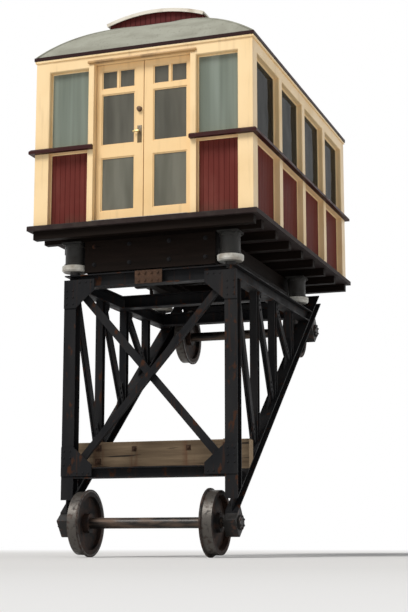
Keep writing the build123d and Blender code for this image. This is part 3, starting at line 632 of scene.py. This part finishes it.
def add_bead(shape, centre, outward, width, height, bead, proud):
    # A rounded bead round the inside of a rectangle, standing proud of the plane that it lies on
    place = facing(centre, outward)
    corners = [Vector((x * width / 2, y * height / 2, 0)) for x, y in ((-1, -1), (1, -1), (1, 1), (-1, 1))]
    face = shape.faces.new([shape.verts.new(place @ corner) for corner in corners])
    face.normal_update()  # the inset measures its step along the face's normal
    inset = bmesh.ops.inset_region(shape, faces=[face], thickness=bead, use_boundary=True,
                                   use_even_offset=True)
    bmesh.ops.delete(shape, geom=[face], context="FACES_ONLY")
    grown = bmesh.ops.extrude_face_region(shape, geom=inset["faces"], use_keep_orig=True)["geom"]
    raised = [part for part in grown if isinstance(part, bmesh.types.BMVert)]
    bmesh.ops.translate(shape, vec=Vector(outward) * proud, verts=raised)
    top = [part for part in grown if isinstance(part, bmesh.types.BMFace)]
    rims = [e for part in top for e in part.edges if sum(side in top for side in e.link_faces) == 1]
    round_edges(shape, rims, bead * 0.42, 2)


cabin_front = wall_low.y
cabin_back = wall_high.y
wall_outer = wall_high.x
wall_inner = wall_low.x
cabin_ends = ((cabin_front, -1), (cabin_back, 1))
wall_paint, tree, cream = painted_wood("cream_outside_varnished_inside", (0.91, 0.68, 0.385))
grain = patches(tree, 12, (1, 1, 0.08), 0.3, 0.7, 6)
varnish = coats(tree, (0.16, 0.072, 0.030), ((0.30, 0.15, 0.065), grain))
inner_front = cabin_front + wall_thick
inner_back = cabin_back - wall_thick
inside = product(tree, spread(tree, from_middle(tree), wall_inner + 0.0015, wall_inner + 0.0005),
                 between(tree, axis_value(tree, 1), inner_front - 0.0015, inner_back + 0.0015, 0.001))
dress(wall_paint, coats(tree, cream, (varnish, inside)))
for name in ("left_wall", "right_wall", "lower_end_wall", "upper_end_wall"):
    finish_node(name, wall_paint)

corner_post = 0.180
side_post = 0.130
side_bays = 4
light_inner = 0.683
light_outer = wall_outer - corner_post
glass_low, glass_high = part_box("window_glass")
panel_low, panel_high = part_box("boarded_panels")
glass_recess = wall_outer - glass_high.x
panel_recess = wall_outer - panel_high.x
bay_pitch = (cabin_back - cabin_front - corner_post) / side_bays
post_lines = [cabin_front + corner_post / 2 + bay_pitch * i for i in range(side_bays + 1)]
post_halves = [corner_post / 2] + [side_post / 2] * (side_bays - 1) + [corner_post / 2]

# Each opening in the walls: the middle of its outer edge, the way that it faces, and its width
openings = []
for hand in (-1, 1):
    for i in range(side_bays):
        start = post_lines[i] + post_halves[i]
        stop = post_lines[i + 1] - post_halves[i + 1]
        middle = Vector((hand * wall_outer, (start + stop) / 2, 0))
        openings.append((middle, Vector((hand, 0, 0)), stop - start))
    for face_y, outward in cabin_ends:
        middle = Vector((hand * (light_inner + light_outer) / 2, face_y, 0))
        openings.append((middle, Vector((0, outward, 0)), light_outer - light_inner))

cream_trim = painted_wood("cream_bead_paint", (0.93, 0.71, 0.41))[0]
glass_height = glass_high.z - glass_low.z
panel_height = panel_high.z - panel_low.z
glass_middle = Vector((0, 0, (glass_low.z + glass_high.z) / 2))
panel_middle = Vector((0, 0, (panel_low.z + panel_high.z) / 2))
shape = bmesh.new()
for edge, outward, width in openings:
    add_bead(shape, edge - outward * glass_recess + glass_middle, outward, width, glass_height, 0.014, 0.014)
    add_bead(shape, edge - outward * panel_recess + panel_middle, outward, width, panel_height, 0.012, 0.010)
add_piece("window_and_panel_beads", shape, "car", cream_trim)

# The drip moulds are painted tan, darker than the walls: partly their own paint, partly a painted shade under
# the door heads
drip_mould_and_painted_shade = worn_paint("tan_drip_mould_and_painted_shade", (0.46, 0.27, 0.105), (0.20, 0.12, 0.055), 0.45)
door_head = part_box("lower_left_door")[1].z + 0.005
drip_half = 0.690
fillet_half = drip_half - 0.020
shape = bmesh.new()
for face_y, outward in cabin_ends:
    add_block(shape, (-drip_half, face_y, door_head + 0.006),
              (drip_half, face_y + outward * 0.026, door_head + 0.036), 0.008)
    add_block(shape, (-fillet_half, face_y, door_head - 0.010),
              (fillet_half, face_y + outward * 0.012, door_head + 0.008), 0.004)
add_piece("doorway_drip_moulds", shape, "car", drip_mould_and_painted_shade)

cornice_low = wall_high.z - 0.030
cornice_proud = 0.018
cornice_edge = 0.007
shape = bmesh.new()
for hand in (-1, 1):
    add_block(shape, (hand * wall_outer, cabin_front - cornice_proud, cornice_low),
              (hand * (wall_outer + cornice_proud), cabin_back + cornice_proud, wall_high.z), cornice_edge)
for face_y, outward in cabin_ends:
    add_block(shape, (-wall_outer, face_y, cornice_low),
              (wall_outer, face_y + outward * cornice_proud, wall_high.z), cornice_edge)
add_piece("cornice_mould", shape, "car", cream_trim)


# Boarded panels.
# Narrow upright boards with chamfered edges, painted maroon and nailed into the frames below the windows.
maroon_boards, tree = start_material("maroon_board_paint", specular=0.012)
grain = patches(tree, 20, (1, 1, 0.06), 0.3, 0.7, 5)
faded = patches(tree, 2.4, low=0.45, high=0.75)
low_dirt = product(tree, patches(tree, 8, (1, 1, 0.3), 0.4, 0.7),
                   spread(tree, axis_value(tree, 2), panel_low.z + 0.16, panel_low.z))
colour = coats(tree, (0.150, 0.037, 0.030), ((0.188, 0.057, 0.046), faded),
               ((0.090, 0.017, 0.016), grain, 0.5), ((0.10, 0.065, 0.045), low_dirt))
dress(maroon_boards, colour, (faded, 0.36, 0.55), grain, 0.0006)
board_width = 0.066
board_chamfer = 0.0055
panel_back = wall_outer - 0.110
board_thick = panel_high.x - panel_back
shape = bmesh.new()
for edge, outward, width in openings:
    across = Vector((0, 0, 1)).cross(outward)
    middle = edge - outward * (panel_recess + board_thick / 2) + panel_middle
    count = round(width / board_width)
    half = across * (width / count / 2) + outward * (board_thick / 2) + Vector((0, 0, panel_height / 2))
    for i in range(count):
        centre = middle + across * width * ((i + 0.5) / count - 0.5)
        edges = add_block(shape, centre - half, centre + half)
        upright = [e for e in edges if abs((e.verts[0].co - e.verts[1].co).z) > 0.1]
        round_edges(shape, upright, board_chamfer, 1)
maroon_panels = add_piece("maroon_board_panels", shape, "car", maroon_boards, 20)
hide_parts("boarded_panels")


# Window glass.
# Single panes. The corner lights have a grey-green film with faint upright bands where they were wiped; the
# film is partly light frosting and partly a painted reflection of the sky. The side windows are painted
# nearly black, a painted shade and dark painted reflection.
window_panes, tree = start_material("window_panes", specular=0.02, alpha=0.88)
corner = spread(tree, from_middle(tree), wall_inner + 0.030, wall_inner + 0.020)
bands = patches(tree, 9, (1, 1, 0.04), 0.35, 0.65, 2)
frost_and_painted_sky_reflection = coats(tree, (0.185, 0.215, 0.180), ((0.265, 0.305, 0.262), bands))
dust = patches(tree, 2.2, (1, 1, 0.5), 0.40, 0.80)
height = axis_value(tree, 2)
settled = combine(tree, "MAXIMUM", spread(tree, height, glass_low.z + 0.16, glass_low.z + 0.02),
                  product(tree, spread(tree, height, glass_high.z - 0.07, glass_high.z), 0.5))
settled = product(tree, settled, patches(tree, 9, (1, 1, 0.6), 0.30, 0.75))
# The near-black side glass is painted shade and dark painted reflection; the corner film is partly a painted
# reflection of the sky
colour = coats(tree, (0.009, 0.010, 0.010), ((0.032, 0.034, 0.031), dust),
               ((0.105, 0.095, 0.078), settled, 0.8), (frost_and_painted_sky_reflection, corner))
dress(window_panes, colour, (corner, 0.05, 0.22), patches(tree, 3, low=0.2, high=0.8, detail=1), 0.004)
finish_node("window_glass", window_panes)


# Waist moulding.
# A dark red hardwood rail with a weathered top, screwed to the walls under the windows.
finish_node("belt_rails", worn_paint("dark_red_trim_paint", (0.034, 0.007, 0.007), (0.040, 0.024, 0.019),
                                     0.42, specular=0.12))


# Doors.
# Pairs of glazed hardwood leaves that open inwards, painted cream like the walls. Beads hold the panes.
# One leaf of each pair has a turned pull and a lock plate with a lever.
door_paint = painted_wood("cream_door_paint", (0.88, 0.62, 0.32))[0]
bronze = worn_paint("brown_bronze", (0.070, 0.030, 0.014), (0.14, 0.075, 0.035), 0.30, 0.45)
lock_brass = steel_finish("lacquered_brass", (0.62, 0.45, 0.20), 0.28)
lock_bronze = worn_paint("olive_bronze", (0.120, 0.078, 0.026), (0.055, 0.036, 0.016), 0.35, 0.45)
ends = (("lower", 1), ("upper", -1))  # each with the way that leads into the cabin, along Y
door_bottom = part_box("lower_right_door")[0].z
door_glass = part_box("lower_right_door_glass")
leaf_thick = 0.045
pane_thick = door_glass[1].y - door_glass[0].y
pane_inner = door_glass[0].x
pane_outer = door_glass[1].x
lock_rail = (door_bottom + 0.780, door_bottom + 0.940)
sash_rail = (door_bottom + 1.565, door_bottom + 1.635)
muntin = 0.028
small_width = (pane_outer - pane_inner - muntin) / 2
# Each pane of a leaf: its edges, from the middle of the doorway outwards, and its bottom and top
panes = [
    (pane_inner, pane_outer, door_glass[0].z, lock_rail[0]),
    (pane_inner, pane_outer, lock_rail[1], sash_rail[0]),
    (pane_inner, pane_inner + small_width, sash_rail[1], door_glass[1].z),
    (pane_outer - small_width, pane_outer, sash_rail[1], door_glass[1].z),
]
# The greys of the door panes are a painted reflection, lighter on the panes below the lock rail than above it
pane_glass, tree = start_material("door_panes", specular=0.1, alpha=0.80)
bands = patches(tree, 7, (1, 1, 0.15), 0.35, 0.65, 2)
above = coats(tree, (0.100, 0.097, 0.080), ((0.150, 0.146, 0.121), bands))
lower_panes_painted_reflection = coats(tree, (0.140, 0.138, 0.110), ((0.205, 0.202, 0.164), bands))
rail_middle = (lock_rail[0] + lock_rail[1]) / 2
lower_pane = spread(tree, axis_value(tree, 2), rail_middle + 0.01, rail_middle - 0.01)
dress(pane_glass, coats(tree, above, (lower_panes_painted_reflection, lower_pane)), (bands, 0.05, 0.12),
      patches(tree, 3, low=0.2, high=0.8, detail=1), 0.004)
leaf_faces = {"lower": cabin_front + wall_thick - leaf_thick, "upper": cabin_back - wall_thick + leaf_thick}
door_bead = 0.010
for end, inward in ends:
    pane_face = leaf_faces[end] + inward * (leaf_thick - pane_thick) / 2
    for side, hand in (("left", -1), ("right", 1)):
        finish_node(f"{end}_{side}_door", door_paint)
        finish_node(f"{end}_{side}_door_glass", pane_glass)
        shape = bmesh.new()
        for near, far, low, high in panes:
            for face_y, way in ((pane_face, -inward), (pane_face + inward * pane_thick, inward)):
                centre = Vector((hand * (near + far) / 2, face_y, (low + high) / 2))
                add_bead(shape, centre, (0, way, 0), far - near, high - low, door_bead, door_bead)
        add_piece(f"{end}_{side}_pane_beads", shape, f"{end}_{side}_leaf", door_paint)

pull_height = 5.105
pull_profile = [(0, 0.046), (0.016, 0.045), (0.027, 0.038), (0.030, 0.028), (0.025, 0.018), (0.013, 0.011),
                (0.012, 0.006), (0.030, 0.004), (0.033, 0), (0, 0)]
lock_height = 4.800
lock_half_width = 0.028
lock_half_height = 0.105
lock_thick = 0.004
lock_screw = 0.085
lever_height = lock_height + 0.030
lever_low = lever_height - 0.011
lever_top = lever_height + 0.011
lever_back = 0.010
lever_reach = 0.075
lever_under = 0.030  # its underside and its face, above the leaf's face
lever_over = 0.042
spindle_length = 0.034
spindle_radius = 0.009
handle_x = 0.052
for end, inward in ends:
    hand = -inward
    side = "left" if hand < 0 else "right"
    line = hand * handle_x
    pull, plates, levers = bmesh.new(), bmesh.new(), bmesh.new()
    add_turned(pull, facing((line, leaf_faces[end], pull_height), (0, -inward, 0)), pull_profile, 28)
    for face, way in ((leaf_faces[end], -inward), (leaf_faces[end] + inward * leaf_thick, inward)):
        add_block(plates, (line - lock_half_width, face, lock_height - lock_half_height),
                  (line + lock_half_width, face + way * lock_thick, lock_height + lock_half_height), 0.0015)
        for z in (lock_height - lock_screw, lock_height + lock_screw):
            add_disc(plates, facing((line, face, z), (0, way, 0)), lock_thick, 0.0015, 0.006, 0.005)
        spindle = facing((line, face, lever_height), (0, way, 0))
        add_disc(levers, spindle, lock_thick, spindle_length, spindle_radius, segments=16)
        add_block(levers, (hand * (handle_x - lever_back), face + way * lever_under, lever_low),
                  (hand * (handle_x + lever_reach), face + way * lever_over, lever_top), 0.005)
    fittings = (("pull", pull, bronze), ("lock", plates, lock_bronze), ("levers", levers, lock_brass))
    for name, shape, metal in fittings:
        add_piece(f"{end}_door_{name}", shape, f"{end}_{side}_leaf", metal)

finish_node("door_hinges", worn_paint("painted_over_hinges", (0.60, 0.44, 0.23), (0.30, 0.19, 0.08), 0.4))


# Benches.
# Varnished hardwood slats screwed to upright boards, along both sides of the cabin.
def upward(tree):
    # How far up a surface faces, from -1 to 1
    normal = tree.nodes.new("ShaderNodeNewGeometry")
    part = tree.nodes.new("ShaderNodeSeparateXYZ")
    tree.links.new(normal.outputs["Normal"], part.inputs["Vector"])
    return part.outputs["Z"]


bench, tree, colour = timber_finish("varnished_bench", (0.33, 0.155, 0.062), (0.155, 0.064, 0.025),
                                    (2.4, 0.14, 2.4), 0.35, sound=0.80)
slat_width = 0.064
flat = spread(tree, upward(tree), 0.5, 0.8)
seat, back = (joints(tree, axis_value(tree, axis), slat_width, 0.0035, 0.0015) for axis in (0, 2))
gap = combine(tree, "MAXIMUM", product(tree, seat, flat),
              product(tree, back, combine(tree, "SUBTRACT", 1, flat)))
finish_node("benches", dress(bench, coats(tree, colour, ((0.012, 0.006, 0.003), gap))))


# Eaves.
# A board painted nearly black, nailed round the wall tops under the edge of the roof.
finish_node("eaves", worn_paint("black_red_eaves_paint", (0.020, 0.005, 0.005), (0.030, 0.020, 0.016),
                                0.45, dirt_low=0.55, specular=0.1))


# Roof.
# Boards bent over arched ribs and covered with canvas in wide strips, painted a light grey-green.
# The boards are cream underneath. Lead flashing seals the foot of the monitor.
canvas_strip = 1.10
pale_canvas = (0.345, 0.348, 0.290)
stained_canvas = (0.220, 0.217, 0.172)


def canvas_finish(name, boards_below):
    material, tree = start_material(name, roughness=0.72, specular=0.3)
    stains = patches(tree, 1.8, (1, 0.6, 1), 0.45, 0.72, 6)
    streaks = patches(tree, 6, (0.35, 1.5, 1), 0.46, 0.64, 6)
    specks = patches(tree, 34, low=0.58, high=0.72)
    seam = joints(tree, axis_value(tree, 1), canvas_strip, 0.020, 0.014)
    colour = coats(tree, pale_canvas, (stained_canvas, stains, 0.75), (stained_canvas, streaks, 0.6),
                   (shade(stained_canvas, 0.6), specks, 0.4), (shade(pale_canvas, 1.12), seam, 0.5))
    if boards_below:
        board_joint = joints(tree, axis_value(tree, 0), 0.09, 0.003, 0.001)
        boards = coats(tree, (0.74, 0.62, 0.42), ((0.20, 0.14, 0.08), board_joint))
        colour = coats(tree, colour, (boards, spread(tree, upward(tree), -0.02, -0.05)))
    weave = product(tree, grit(tree, 170), 0.4)
    return dress(material, colour, height=combine(tree, "MAXIMUM", weave, seam), depth=0.0014)


finish_node("roof", canvas_finish("roof_canvas_on_boards", True))
roof_canvas = canvas_finish("roof_canvas_laps", False)


def merged_copy(name):
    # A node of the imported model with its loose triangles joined
    copy = bmesh.new()
    copy.from_mesh(nodes[name].data)
    bmesh.ops.remove_doubles(copy, verts=copy.verts, dist=1e-5)
    return copy


def add_skin(shape, name, low, high, thick, hole=None, shift=(0, 0, 0)):
    # A sheet on the part of a node's upper face between two places in plan, with a hole left in it
    skin = merged_copy(name)
    bmesh.ops.delete(skin, geom=[face for face in skin.faces if face.normal.z < 0.05], context="FACES")
    cuts = [(low, -1, True), (high, 1, True)]
    if hole:
        cuts += [(corner, 1, False) for corner in hole]
    for corner, way, clear in cuts:
        for axis in (0, 1):
            spot, normal = Vector(), Vector()
            spot[axis], normal[axis] = corner[axis], way
            everything = skin.verts[:] + skin.edges[:] + skin.faces[:]
            bmesh.ops.bisect_plane(skin, geom=everything, plane_co=spot, plane_no=normal, clear_outer=clear)
    if hole:
        middles = [(face, face.calc_center_median()) for face in skin.faces]
        inside = [face for face, at in middles if all(hole[0][i] < at[i] < hole[1][i] for i in (0, 1))]
        bmesh.ops.delete(skin, geom=inside, context="FACES")
    bmesh.ops.solidify(skin, geom=skin.faces[:], thickness=-thick)
    bmesh.ops.translate(skin, vec=shift, verts=skin.verts)
    sheet = bpy.data.meshes.new("sheet")
    skin.to_mesh(sheet)
    skin.free()
    shape.from_mesh(sheet)
    bpy.data.meshes.remove(sheet)


def add_roll(shape, points, radius, segments=8):
    # A round roll along a line of points, closed at its ends
    rings = []
    for before, point, after in zip(points[:1] + points[:-1], points, points[1:] + points[-1:]):
        place = facing(point, after - before)
        rings.append(bmesh.ops.create_circle(shape, segments=segments, radius=radius, matrix=place)["verts"])
    for ring in (rings[0], rings[-1]):
        shape.faces.new(ring)
    for pair in zip(rings, rings[1:]):
        loops = [e for ring in pair for v in ring for e in v.link_edges
                 if e.verts[0] == v and e.verts[1] in ring]
        bmesh.ops.bridge_loops(shape, edges=loops)


roof_low, roof_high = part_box("roof")
seams = 4
seam_half = 0.018
seam_thick = 0.003
eaves_margin = 0.004
shape = bmesh.new()
for i in range(seams):
    low = (roof_low.x + eaves_margin, canvas_strip * i - seam_half)
    high = (roof_high.x - eaves_margin, canvas_strip * i + seam_half)
    add_skin(shape, "roof", low, high, seam_thick)
outside = merged_copy("roof")
upper = {face for face in outside.faces if face.normal.z > 0.05}
hips = [e for e in outside.edges if upper.issuperset(e.link_faces) and e.calc_face_angle(0) > radians(9)]
ridge = {tuple(vertex.co) for edge in hips for vertex in edge.verts}
outside.free()
hip_stop = 0.13
hip_radius = 0.011
roof_middle = 1.6
for inward in (1, -1):
    for hand in (-1, 1):
        corner = [Vector(p) for p in ridge if p[0] * hand > hip_stop and (p[1] - roof_middle) * inward < 0]
        add_roll(shape, sorted(corner, key=lambda p: p.x), hip_radius)
add_piece("roof_seams_and_hips", shape, "car", roof_canvas, 40)

lead = worn_paint("dull_lead", (0.16, 0.165, 0.17), (0.25, 0.25, 0.24), 0.55, 0.40, 0.4)
foot_low, foot_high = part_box("monitor_walls")
flashing_reach = Vector((0.075, 0.075, 0))
flashing_lap = Vector((0.002, 0.002, 0))
shape = bmesh.new()
add_skin(shape, "roof", foot_low - flashing_reach, foot_high + flashing_reach, 0.004,
         (foot_low + flashing_lap, foot_high - flashing_lap))
add_piece("monitor_flashing", shape, "car", lead, 40)


# Monitor.
# A raised light box along the crown of the roof, boarded and painted maroon, under a pale arched top with
# a white-painted edge.
crown_canvas, tree = start_material("white_edged_monitor_canvas", roughness=0.6, specular=0.3)
stains = patches(tree, 5, (2.2, 0.5, 1), 0.42, 0.75, 8)
top = coats(tree, (0.40, 0.405, 0.365), ((0.29, 0.29, 0.255), stains))
edge = coats(tree, (0.80, 0.76, 0.66), ((0.50, 0.44, 0.34), patches(tree, 12, (1, 1, 0.3), 0.5, 0.75)))
seam = joints(tree, axis_value(tree, 1), canvas_strip, 0.019, 0.015)
weave = product(tree, grit(tree, 170), 0.3)
dress(crown_canvas, coats(tree, edge, (top, spread(tree, upward(tree), 0.4, 0.6))),
      height=combine(tree, "MAXIMUM", weave, seam), depth=0.002)
finish_node("monitor_top", crown_canvas)

monitor_boards, tree = start_material("maroon_monitor_boards", roughness=0.45, specular=0.06)
along = combine(tree, "ADD", axis_value(tree, 0), axis_value(tree, 1), clamp=False)
joint = joints(tree, along, board_width, 0.005, 0.001)
grain = patches(tree, 20, (1, 1, 0.06), 0.3, 0.7, 5)
colour = coats(tree, (0.115, 0.023, 0.022), ((0.075, 0.014, 0.014), grain, 0.6),
               ((0.030, 0.006, 0.006), joint))
dress(monitor_boards, colour, height=combine(tree, "SUBTRACT", 1, joint), depth=0.004)
finish_node("monitor_walls", monitor_boards)

crown_low, crown_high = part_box("monitor_top")
fascia_thick = 0.014
fascia_depth = 0.042
fascia_inset = 0.002
fascia_paint = worn_paint("white_fascia_paint", (0.70, 0.66, 0.57), (0.42, 0.35, 0.26), 0.4, 0.48)
shape = bmesh.new()
for start, step in ((crown_low.y, -fascia_thick), (crown_high.y - fascia_thick, fascia_thick)):
    low = (crown_low.x + fascia_inset, start)
    high = (crown_high.x - fascia_inset, start + fascia_thick)
    add_skin(shape, "monitor_top", low, high, -fascia_depth, shift=(0, step, -fascia_inset))
add_piece("monitor_fascias", shape, "car", fascia_paint)


# Studio.
# A pale floor at the wheels' lowest point, which fades to white far from the car, one broad soft sun from
# the front left, and a white surround that the camera, the glass and the reflections see.
floor_finish, tree = start_material("pale_studio_floor", roughness=0.9, specular=0.05)
shader = tree.nodes["Principled BSDF"]
shader.inputs["Base Color"].default_value = (0.78, 0.78, 0.78, 1)
fade_start, fade_stop = 7, 22
glow = tree.nodes.new("ShaderNodeEmission")
mix = tree.nodes.new("ShaderNodeMixShader")
tree.links.new(spread(tree, length_of(tree, on_object(tree)), fade_start, fade_stop), mix.inputs["Fac"])
tree.links.new(shader.outputs["BSDF"], mix.inputs[1])
tree.links.new(glow.outputs["Emission"], mix.inputs[2])
tree.links.new(mix.outputs["Shader"], tree.nodes["Material Output"].inputs["Surface"])

floor_half = 400
floor_mesh = bpy.data.meshes.new("studio_floor")
shape = bmesh.new()
floor_place = Matrix.Translation((0, 0, cad_low.z))
bmesh.ops.create_grid(shape, x_segments=1, y_segments=1, size=floor_half, matrix=floor_place)
shape.to_mesh(floor_mesh)
shape.free()
floor_mesh.materials.append(floor_finish)
put_in_scene("studio_floor", floor_mesh)

sun = bpy.data.lights.new("soft_sun", "SUN")
sun.energy = 2.45
sun.angle = radians(25)
sun.color = (1, 0.975, 0.94)
sun_direction = Vector((0.30, 0.62, -0.72))
put_in_scene("soft_sun", sun).rotation_euler = sun_direction.to_track_quat("-Z", "Y").to_euler()

world = bpy.data.worlds.new("studio")
bpy.context.scene.world = world
world.use_nodes = True
tree = world.node_tree
surround = tree.nodes["Background"]
surround.inputs["Color"].default_value = (1, 1, 1, 1)
paths = tree.nodes.new("ShaderNodeLightPath")
seen = combine(tree, "MAXIMUM", paths.outputs["Is Camera Ray"], paths.outputs["Is Glossy Ray"])
seen = combine(tree, "MAXIMUM", seen, paths.outputs["Is Transmission Ray"])
tree.links.new(spread(tree, seen, 0, 1, 0.36, 1.0), surround.inputs["Strength"])


# Camera.
# At floor level in front of the car and to its right, looking a little upwards, as in the photograph.
camera_azimuth = radians(19.4)
camera_distance = 17.0
camera_height = 0.05
camera_aim = Vector((0, 1.64, 3.10))
camera_data = bpy.data.cameras.new("camera")
camera_data.sensor_width = 36
camera_data.lens = 78
camera_data.clip_end = 1000
camera = put_in_scene("camera", camera_data)
camera.location = (camera_distance * sin(camera_azimuth),
                   camera_aim.y - camera_distance * cos(camera_azimuth), camera_height)
camera.rotation_euler = (camera_aim - camera.location).to_track_quat("-Z", "Y").to_euler()
bpy.context.scene.camera = camera
bpy.context.scene.view_settings.view_transform = "Standard"
